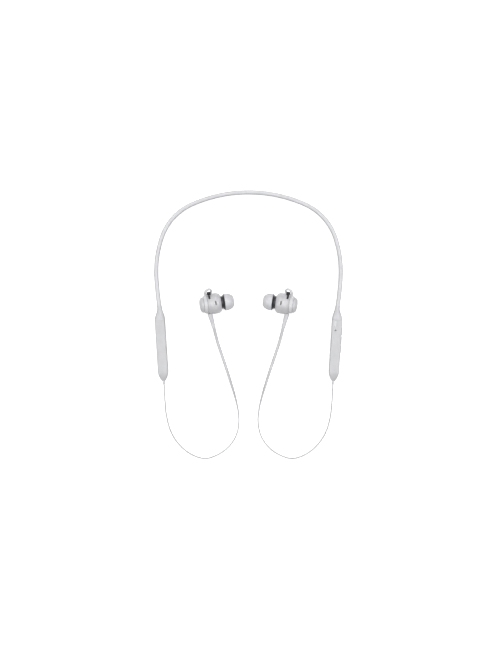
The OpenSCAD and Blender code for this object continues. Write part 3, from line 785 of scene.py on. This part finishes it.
def back_cuts():
    """Openings of the right back cover: the keys, the flap's recess and the charging socket."""
    cuts = []
    outside = POD_W / 2 + 1
    for y in KEY_Y.values():
        cuts.append(prism(key_outline(0.07), -outside, -2.5, "x", (y, KEY_Z)))
    recess = rounded_rect(FLAP_W / 2 + 0.08, FLAP_H / 2 + 0.08, 0.4, 4)
    cuts.append(prism(recess, POD_W / 2 - FLAP_T - 0.05, outside, "x", (PORT_Y, PORT_Z)))
    socket = rounded_rect(SOCKET_W / 2, SOCKET_H / 2, 0.6, 6)
    cuts.append(prism(socket, 2, outside, "x", (PORT_Y, PORT_Z)))
    barrel = superellipse(0.6, 0.6, 2, 24)
    knuckle = [(FLAP_HINGE_X + u, FLAP_HINGE_Y + v) for u, v in barrel]
    reach = FLAP_H / 2 + 0.05
    rings = [in_pod([(x, y, PORT_Z + z) for x, y in knuckle]) for z in (-reach, reach)]
    cuts.append(Shape().loft(rings))
    return cuts


def front_cuts():
    """Openings of the right front cover: the light window and the microphone hole."""
    window = rounded_rect(LIGHT_W / 2 + 0.05, LIGHT_LEN / 2 + 0.05, LIGHT_W / 2, 8)
    hole = superellipse(MIC_R, MIC_R, 2, 32)
    inside, outside = 2.5, 6
    return [prism(window, inside, outside, "z", LIGHT_AT), prism(hole, inside, outside, "z", MIC_AT)]


def pod(side):
    """Both covers of a housing. Only the right one has openings."""
    body = f"{side}_arm"
    for part, facing, cuts in (("back_cover", -1, back_cuts), ("front_cover", 1, front_cuts)):
        thing = cover(side, facing)
        thing.name = f"{side}_{part}_shell"
        if side == RIGHT:
            cutters = [mesh_object("cutter", shape, side) for shape in cuts()]
            cut(thing, cutters)
        finish_piece(thing, POD, body, [f"{side}_{part}"], 32)


def boot_stations(end, out, back):
    """(middle, across, half width, half height, corner radius) from the pod to the band."""
    half_w, half_t, edge = pod_halves(0)
    band_w, band_t = BAND_W / 2 + BOOT_LIP, BAND_H / 2 + BOOT_LIP
    foot = in_pod([(0, POD_TOP + SEAM, 0)])[0]
    reach = np.linalg.norm(end - foot)
    stations = []
    for s in np.arange(BOOT_ROWS + 1) / BOOT_ROWS:
        middle = (1 - s) ** 3 * foot + 3 * s * (1 - s) ** 2 * (foot + POD_Y * reach / 3)
        middle = middle + 3 * s * s * (1 - s) * (end - back * reach / 3) + s ** 3 * end
        across = (1 - smooth(s)) * -POD_X + smooth(s) * out
        across = across / np.linalg.norm(across)
        fall = (0.5 + 0.5 * math.cos(math.pi * min(1, s / 0.9))) ** 0.9
        w = band_w + (half_w - band_w) * fall
        t = band_t + (half_t - band_t) * fall
        oval = min(w, t) * 0.98
        stations.append((middle, across, w, t, oval + (edge * 1.05 - oval) * fall))
    return stations


def boot(side):
    """Silicone flare from the pod to the band, with a lip round the band."""
    end, out, _ = band_lines()[-1]
    back = -np.cross(UP, out)
    stations = boot_stations(end, out, back)
    edges = [(stations[0], inset, 0) for inset in (0.32, 0.1, 0.03)]
    edges += [(station, 0, 0) for station in stations]
    edges += [(stations[-1], inset, lift) for inset, lift in ((0.04, 0.06), (0.16, 0.11), (0.4, 0.12))]
    rings = []
    for (middle, across, w, t, radius), inset, lift in edges:
        w, t, radius = w - inset, t - inset, radius - inset
        outline = rounded_rect(w, t, min(radius, w * 0.999, t * 0.999), 8)
        rings.append(middle + back * lift + outline[:, :1] * across + outline[:, 1:] * UP)
    piece(f"{side}_boot_flare", Shape().loft(rings), BOOT, f"{side}_arm",
          [f"{side}_boot"], side)


def gland(side):
    """Tapered grommet at the pod's tip, rounded on the cable's swing axis."""
    rows = []
    for y, w, t in ((POD_TIP + 1.2, 0.9, 1.5), (POD_TIP, 0.95, 1.6), (POD_TIP - 0.3, 0.95, 1.6),
                    (SWING_Y + 0.5, 0.86, 1.56), (SWING_Y, 0.82, 1.52), (SWING_Y - 0.4, 0.78, 1.47),
                    (SWING_Y - 0.7, 0.68, 1.38), (SWING_Y - 0.86, 0.55, 1.28)):
        outline = rounded_rect(w, t, w * 0.9, 6)
        rows.append(in_pod([(x, y, z) for x, z in outline]))
    piece(f"{side}_gland_sleeve", Shape().loft(rows), SOFT, f"{side}_arm",
          [f"{side}_gland"], side)


def key(name):
    """A key cap with rounded edges and a shallow dish, and its flange."""
    y, z = KEY_Y[name], KEY_Z
    face = -POD_W / 2 - KEY_PROUD
    rings = []
    for level, grow in ((-2.95, 0.35), (-2.98, 0.4), (-3.0, 0.0), (face + 0.35, 0.0), (face + 0.14, -0.03),
                        (face + 0.04, -0.12), (face, -0.28), (face + 0.02, -0.55), (face + 0.06, -0.9)):
        outline = key_outline(grow)
        rings.append(in_pod([(level, y + u, z + v) for u, v in outline]))
    piece(f"{name}_cap", Shape().loft(rings), SOFT, name, [name], RIGHT)


def flap():
    """Cover of the charging socket, with soft edges, a plug that reaches into the socket and its hinge
    barrel.
    """
    out_x = FLAP_HINGE_X - 0.35 + FLAP_T
    in_x = FLAP_HINGE_X - 0.35
    rings = []
    for level, grow in ((in_x, -0.12), (in_x + 0.03, -0.03), (in_x + 0.12, 0), (out_x - 0.16, 0),
                        (out_x - 0.05, -0.05), (out_x, -0.18)):
        outline = rounded_rect(FLAP_W / 2 + grow, FLAP_H / 2 + grow, 0.35 + grow * 0.3, 5)
        rings.append(in_pod([(level, FLAP_HINGE_Y - FLAP_W / 2 + u, PORT_Z + v) for u, v in outline]))
    shape = Shape().loft(rings)
    barrel = superellipse(0.45, 0.45, 2, 24)
    reach = FLAP_H / 2 - 0.02
    shape.loft([in_pod([(FLAP_HINGE_X + u, FLAP_HINGE_Y + v, PORT_Z + z) for u, v in barrel])
                for z in (-reach, reach)])
    plug = rounded_rect(2.9, 1.0, 0.4, 4)
    shape.loft([in_pod([(x, PORT_Y + u, PORT_Z + v) for u, v in plug])
                for x in (FLAP_HINGE_X - 1.0, in_x + 0.05)])
    piece("port_flap_skin", shape, SOFT, "port_flap", ["port_flap"], RIGHT)


def light_window():
    """Light guide set just below the front cover's face."""
    top = POD_T / 2 - 0.03
    rings = []
    for level, grow in ((top - 1.5, 0), (top - 0.08, 0), (top - 0.02, -0.03), (top, -0.1)):
        outline = rounded_rect(LIGHT_W / 2 + grow, LIGHT_LEN / 2 + grow, LIGHT_W / 2 + grow - 0.01, 8)
        rings.append(in_pod([(LIGHT_AT[0] + u, LIGHT_AT[1] + v, level) for u, v in outline]))
    piece("light_window", Shape().loft(rings), LENS, "right_arm", ["light_guide"], RIGHT)


# ---------------------------------------------------------------- earbuds
# Places along x and radii in the earbud's frame. ROLL turns a place round the drum from its top.

DRUM_R = 8.3
HUB_R = 5.6
CAP_R = 6.2
CAP_CROWN = 0.75
CAP_REAR = -9.0
CAP_FRONT = -5.6
RING_REAR = -5.5
RING_FRONT = -2.6
RING_R = 7.0
DRUM_REAR = -2.5
DRUM_REAR_R = 7.0
DRUM_EDGE = 3.0
DRUM_NOSE = 8.2
DRUM_WALL = 0.9
NOSE_R = 5.9
NOSE_BORE = 4.56
COLLAR_FRONT = 10.9
COLLAR_R = 6.3
COLLAR_WAIST = 5.1
SPOUT_END = 16.6
SPOUT_R = 2.75
SPOUT_FLAT = 3.8 / 5.6
TIP_R = 6.8
TIP_REAR = 11.0
TIP_FRONT = 18.6
TIP_DOME = 12.1
TIP_BORE = 2.3
TIP_BORE_FLAT = 0.62
TIP_CORE_FLAT = 0.69
PEG_X = -0.75
PEG_ROLL = 30
LOOP_X = -3.9
LOOP_FOOT = 6.4
LOOP_LEAN = 33
LOOP_TWIST = -25
LOOP_CENTRE = 5.1
LOOP_R = 2.85
LOOP_T = 1.7
LOOP_W = 1.9
SLOT_X = 3.7
SLOT_HALF_W = 0.42
SLOT_HALF_H = 1.6
RELIEF_X = -1.6
RELIEF_ROOT = 7.3
RELIEF_ROLL = 14
RELIEF_FORE = 8.45
RELIEF_LEN = 12.25
RELIEF_ROUND = 0.2
GROOVES = (7.2, 8.7, 10.2)
GROOVE_DEPTH = 0.16
GROOVE_W = 0.28


def bud_piece(name, shape, material, side, stands_for, sharp=40):
    return piece(f"{side}_{name}", shape, material, f"{side}_earbud",
                 [f"{side}_{node}" for node in stands_for], side, sharp)


def bud_cap(side):
    """Domed rear cap with a soft edge, and the spigot that holds it in the hub."""
    rim = CAP_FRONT - 0.25
    profile = []
    for a in np.linspace(90, 0, 22):
        angle = math.radians(a)
        radius = CAP_R * max(math.cos(angle), 0) ** CAP_CROWN
        profile.append((rim - (rim - CAP_REAR) * math.sin(angle) ** CAP_CROWN, radius))
    profile += [(CAP_FRONT - 0.1, CAP_R), (CAP_FRONT, CAP_R - 0.1), (CAP_FRONT, HUB_R - 0.5)]
    profile += [(CAP_FRONT + 1.3, HUB_R - 0.55), (CAP_FRONT + 1.3, HUB_R - 1.1), (CAP_FRONT, HUB_R - 1.1)]
    profile += [(CAP_REAR + 1.2, 3.0), (CAP_REAR + 1.0, 0)]
    bud_piece("rear_cap", Shape().lathe(profile, in_bud), BUD, side, ["bud_cap"])


def on_ring(points):
    """Points in the loop's own plane, put where the loop stands on the ring."""
    points = turned(points, "Y", -LOOP_TWIST)
    points = turned(points, "Z", -LOOP_LEAN) + [LOOP_X, LOOP_FOOT, 0]
    return in_bud(turned(points, "X", PEG_ROLL))


def ring_loop():
    """Rings along the ear ring's loop: a soft-edged band bent to a circle."""
    section = superellipse(LOOP_T / 2, LOOP_W / 2, 2.6, 16)
    rings = []
    for a in np.linspace(0, 2 * math.pi, 72, endpoint=False):
        outward = np.array([math.cos(a), math.sin(a), 0])
        centre = outward * LOOP_R + [0, LOOP_CENTRE, 0]
        rings.append(on_ring(centre + section[:, :1] * outward + section[:, 1:] * UP))
    return rings


def loop_foot():
    """Root that joins the loop to the ring."""
    rings = []
    for y, half_w, half_d in ((-1.2, 2.0, 1.2), (-0.4, 1.6, 1.1), (1.2, 1.6, 1.0), (2.4, 2.1, 0.9)):
        outline = rounded_rect(half_w, half_d, half_d * 0.8, 4)
        rings.append(on_ring([(u, y, v) for u, v in outline]))
    return rings


def moulded(thing):
    """Melts the overlapping parts of a thing into one soft skin."""
    step = thing.modifiers.new("weld", "REMESH")
    step.mode = "VOXEL"
    step.voxel_size = 0.16
    step = thing.modifiers.new("soften", "SMOOTH")
    step.factor = 0.5
    step.iterations = 6
    apply_modifiers(thing)


def ear_ring(side):
    """Ring round the hub with its loop, moulded in one piece of silicone."""
    profile = fillet(
        [(RING_REAR, HUB_R + 0.05), (RING_REAR, RING_R), (RING_FRONT, RING_R), (RING_FRONT, HUB_R + 0.05)],
        [0.15, 0.9, 0.3, 0.15], 6, closed=True)
    shape = Shape().lathe(profile, in_bud, 120, loop=True)
    shape.loft(ring_loop(), loop=True)
    shape.loft(loop_foot())
    thing = mesh_object(f"{side}_ear_ring_skin", shape, side)
    moulded(thing)
    rear, front, radius = DRUM_REAR - SEAM, DRUM_REAR + 8, DRUM_R + 0.1
    room = [(rear, 0), (rear, radius), (front, radius), (front, 0)]
    cut(thing, [mesh_object("cutter", Shape().lathe(room, in_bud, 96), side)])
    finish_piece(thing, SOFT, f"{side}_earbud", [f"{side}_ear_ring"], 50)


def rolled_bar(section, first, last):
    """Rings of a section swept round the drum beside the peg, between two angles."""
    rings = []
    for a in np.linspace(PEG_ROLL + first, PEG_ROLL + last, 16):
        ring = np.array([(PEG_X + u, v, 0) for u, v in section])
        rings.append(in_bud(turned(ring, "X", a)))
    return rings


def on_peg(y, outline):
    """A ring of the peg, y above the earbud's middle line."""
    return in_bud(turned([(PEG_X + u, y, v) for u, v in outline], "X", PEG_ROLL))


def chassis(side):
    """Dark inner frame: the hub, the liner behind the vent and the loop's peg."""
    shape = Shape()
    hub_rear, hub_front, liner_end = RING_REAR - 0.05, DRUM_REAR - 0.02, DRUM_REAR + 5.9
    hub = [(hub_rear, HUB_R - 0.5), (hub_rear, HUB_R), (hub_front, HUB_R),
           (hub_front, DRUM_REAR_R - 0.65), (2, 7.2), (liner_end, 7.2), (liner_end, 6.1),
           (DRUM_REAR + 1, 6.1), (DRUM_REAR + 1, HUB_R - 0.5)]
    shape.lathe(hub, in_bud, 72, loop=True)
    shape.loft(rolled_bar(rounded_rect(0.7, 1.1, 0.25, 4) + [0, DRUM_R - 0.85], -1, 30))
    stem = superellipse(0.72, 0.72, 2, 24)
    shape.loft([on_peg(y, stem) for y in (6.5, 9.2)])
    head = ((8.72, -0.2), (8.78, -0.06), (8.95, 0), (10.45, 0), (10.68, -0.07), (10.78, -0.25))
    shape.loft([on_peg(y, rounded_rect(1.6 + grow, 0.85 + grow, 0.8 + grow, 8)) for y, grow in head])
    bud_piece("inner_frame", shape, BLACK, side, ["chassis"])


def drum_profile():
    """Outside of the drum, from its rear edge to its nose."""
    rear = fillet(
        [(DRUM_REAR, DRUM_REAR_R - 0.5), (DRUM_REAR, DRUM_REAR_R), (-0.6, 7.8), (DRUM_EDGE - 0.3, DRUM_R)],
        [0, 0.5, 4, 0], 8)
    bead = [(DRUM_EDGE - 0.12, DRUM_R - 0.12), (DRUM_EDGE, DRUM_R - 0.13), (DRUM_EDGE + 0.1, DRUM_R - 0.03),
            (DRUM_EDGE + 0.3, DRUM_R)]
    front = []
    crown = DRUM_EDGE + 0.8
    for a in np.linspace(0, 78, 16):
        angle = math.radians(a)
        front.append((crown + (DRUM_NOSE - crown) * math.sin(angle),
                      NOSE_R + (DRUM_R - NOSE_R) * math.cos(angle)))
    nose = [(DRUM_NOSE - 0.1, NOSE_R + 0.12), (DRUM_NOSE, NOSE_R - 0.05), (DRUM_NOSE, NOSE_BORE)]
    return list(map(tuple, rear)) + bead + front + nose


def drum_shell(side):
    """Shell of the drum, with its vent and the groove of the peg's rib."""
    back = DRUM_NOSE - DRUM_WALL
    inside = [(back, NOSE_BORE), (back, NOSE_R - DRUM_WALL + 0.1), (DRUM_EDGE + 1.4, DRUM_R - DRUM_WALL),
              (2, DRUM_R - DRUM_WALL)]
    shape = Shape().lathe(drum_profile() + inside, in_bud, 128, loop=True)
    thing = mesh_object(f"{side}_drum_skin", shape, side)
    outline = rounded_rect(SLOT_HALF_W, SLOT_HALF_H, 0.38, 6)
    slot = [in_bud([(SLOT_X + u, v, z) for u, v in outline]) for z in (5.5, 10)]
    rib = rolled_bar(rounded_rect(0.78, 1.9, 0.2, 3) + [0, DRUM_R], -3, 31)
    cut(thing, [mesh_object("cutter", Shape().loft(rings), side) for rings in (slot, rib)])
    finish_piece(thing, BUD, f"{side}_earbud", [f"{side}_drum_shell"], 28)


def nozzle(side):
    """Dark collar and the oval spout that carries the ear tip."""
    rear, seat = DRUM_NOSE - 1.3, DRUM_NOSE + 0.03
    collar = fillet(
        [(seat, 4.4), (seat, 4.9), (COLLAR_FRONT - 1.2, COLLAR_WAIST), (COLLAR_FRONT - 0.15, COLLAR_R),
         (COLLAR_FRONT, COLLAR_R), (COLLAR_FRONT, 2.8)],
        [0, 0.3, 1.2, 0.1, 0.1, 0], 6)
    body = [(rear, 0), (rear, 4.4)] + list(map(tuple, collar))
    spout = [(COLLAR_FRONT + 0.05, SPOUT_R), (SPOUT_END - 0.2, SPOUT_R), (SPOUT_END, 2.6), (SPOUT_END, 2.1),
             (SPOUT_END - 0.5, 2.05), (SPOUT_END - 0.6, 0)]
    flat = [1] * len(body) + [SPOUT_FLAT] * len(spout)
    shape = Shape().lathe(body + spout, in_bud, 72, flat=flat)
    bud_piece("nozzle_collar", shape, BLACK, side, ["nozzle"])


def ear_tip(side):
    """Silicone umbrella: crowned outside, hollow behind, with an oval bore."""
    outside = [(TIP_REAR + 0.12, TIP_R - 0.28), (TIP_REAR, TIP_R - 0.14), (TIP_REAR + 0.06, TIP_R - 0.02),
               (TIP_REAR + 0.3, TIP_R), (TIP_REAR + 0.9, TIP_R - 0.03)]
    for a in np.linspace(0, 90, 18):
        angle = math.radians(a)
        outside.append((TIP_DOME + (TIP_FRONT - TIP_DOME) * math.sin(angle),
                        2.7 + (TIP_R - 2.75) * max(math.cos(angle), 0) ** 1.1))
    bore = [(TIP_FRONT - 0.12, TIP_BORE + 0.25), (TIP_FRONT - 0.6, TIP_BORE + 0.02),
            (SPOUT_END + 0.1, TIP_BORE)]
    core = [(SPOUT_END + 0.05, 2.8), (TIP_REAR + 1.0, 2.8)]
    crown = TIP_FRONT - 3.4
    hollow = [(TIP_REAR + 1.0, 4.0), (crown - 0.8, 4.0), (crown - 0.2, 4.6), (crown - 0.8, 5.3),
              (crown - 2.0, 5.9), (TIP_REAR + 1.2, TIP_R - 0.5)]
    flat = [1] * len(outside) + [TIP_BORE_FLAT] * 3 + [TIP_CORE_FLAT] * 2 + [1] * len(hollow)
    shape = Shape().lathe(outside + bore + core + hollow, in_bud, 96, loop=True, flat=flat)
    piece(f"{side}_tip_umbrella", shape, TIP, f"{side}_ear_tip", [f"{side}_ear_tip"], side)


def on_relief(points):
    """Points in the relief's frame: z away from the drum, x across."""
    points = np.asarray(points, float)
    points = turned(points, "X", -90)
    points = turned(points, "Z", -RELIEF_FORE)
    points = (points + [RELIEF_X, RELIEF_ROOT, 0]) * [1, -1, 1]
    return in_bud(turned(points, "X", RELIEF_ROLL))


def bud_relief(side):
    """Tapered sleeve of the cable, with shallow grooves and a rounded end."""
    rings = []
    round_start = RELIEF_LEN - RELIEF_ROUND
    for z in np.append(np.linspace(0.2, RELIEF_LEN - 0.15, 60), [RELIEF_LEN - 0.05, RELIEF_LEN]):
        t = z / RELIEF_LEN
        half_w = 1.95 - 0.35 * smooth(t * 1.1)
        half_t = 1.45 - 0.55 * smooth(t * 1.1)
        inset = sum(GROOVE_DEPTH * math.exp(-((z - groove) / GROOVE_W) ** 2) for groove in GROOVES)
        if z > round_start:
            inset += RELIEF_ROUND - math.sqrt(max(0, RELIEF_ROUND ** 2 - (z - round_start) ** 2))
        half_w, half_t = half_w - inset, half_t - inset
        outline = rounded_rect(half_w, half_t, half_t * 0.85, 7)
        rings.append(on_relief([(u, v, z) for u, v in outline]))
    bud_piece("relief_sleeve", Shape().loft(rings), SLEEVE, side, ["bud_relief"])


def earbud(side):
    bud_cap(side)
    ear_ring(side)
    chassis(side)
    drum_shell(side)
    nozzle(side)
    ear_tip(side)
    bud_relief(side)


# ---------------------------------------------------------------- CAD parts that stay

INNER_PAINTS = {
    "nape_memory_wire": WIRE, "left_memory_wire": WIRE, "right_memory_wire": WIRE,
    "nape_lead": COPPER, "left_lead": COPPER, "right_lead": COPPER,
    "battery": FOIL, "battery_pad": FOAM, "protection_board": BOARD,
    "main_board": BOARD, "radio_module": STEEL, "side_switches": BLACK,
    "microphone": STEEL, "microphone_seal": FOAM, "charging_port": STEEL,
}
BUD_PAINTS = {
    "bud_magnet": STEEL, "driver_basket": STEEL, "driver_motor": BLACK,
    "diaphragm": COPPER, "nozzle_mesh": STEEL,
}


def paint_cad_parts():
    paints = dict(INNER_PAINTS)
    for side in SIDES:
        for name, material in BUD_PAINTS.items():
            paints[f"{side}_{name}"] = material
    for node, material in paints.items():
        thing = frame["nodes"][node]
        thing.data.materials.clear()
        thing.data.materials.append(material)


# ---------------------------------------------------------------- assembly

camera()
for side in SIDES:
    cable(side)
lights()
floor()
for side in SIDES:
    band(side)
    boot(side)
    pod(side)
    gland(side)
    earbud(side)
for name in KEY_Y:
    key(name)
flap()
light_window()
paint_cad_parts()
bpy.context.scene.view_settings.view_transform = "Standard"
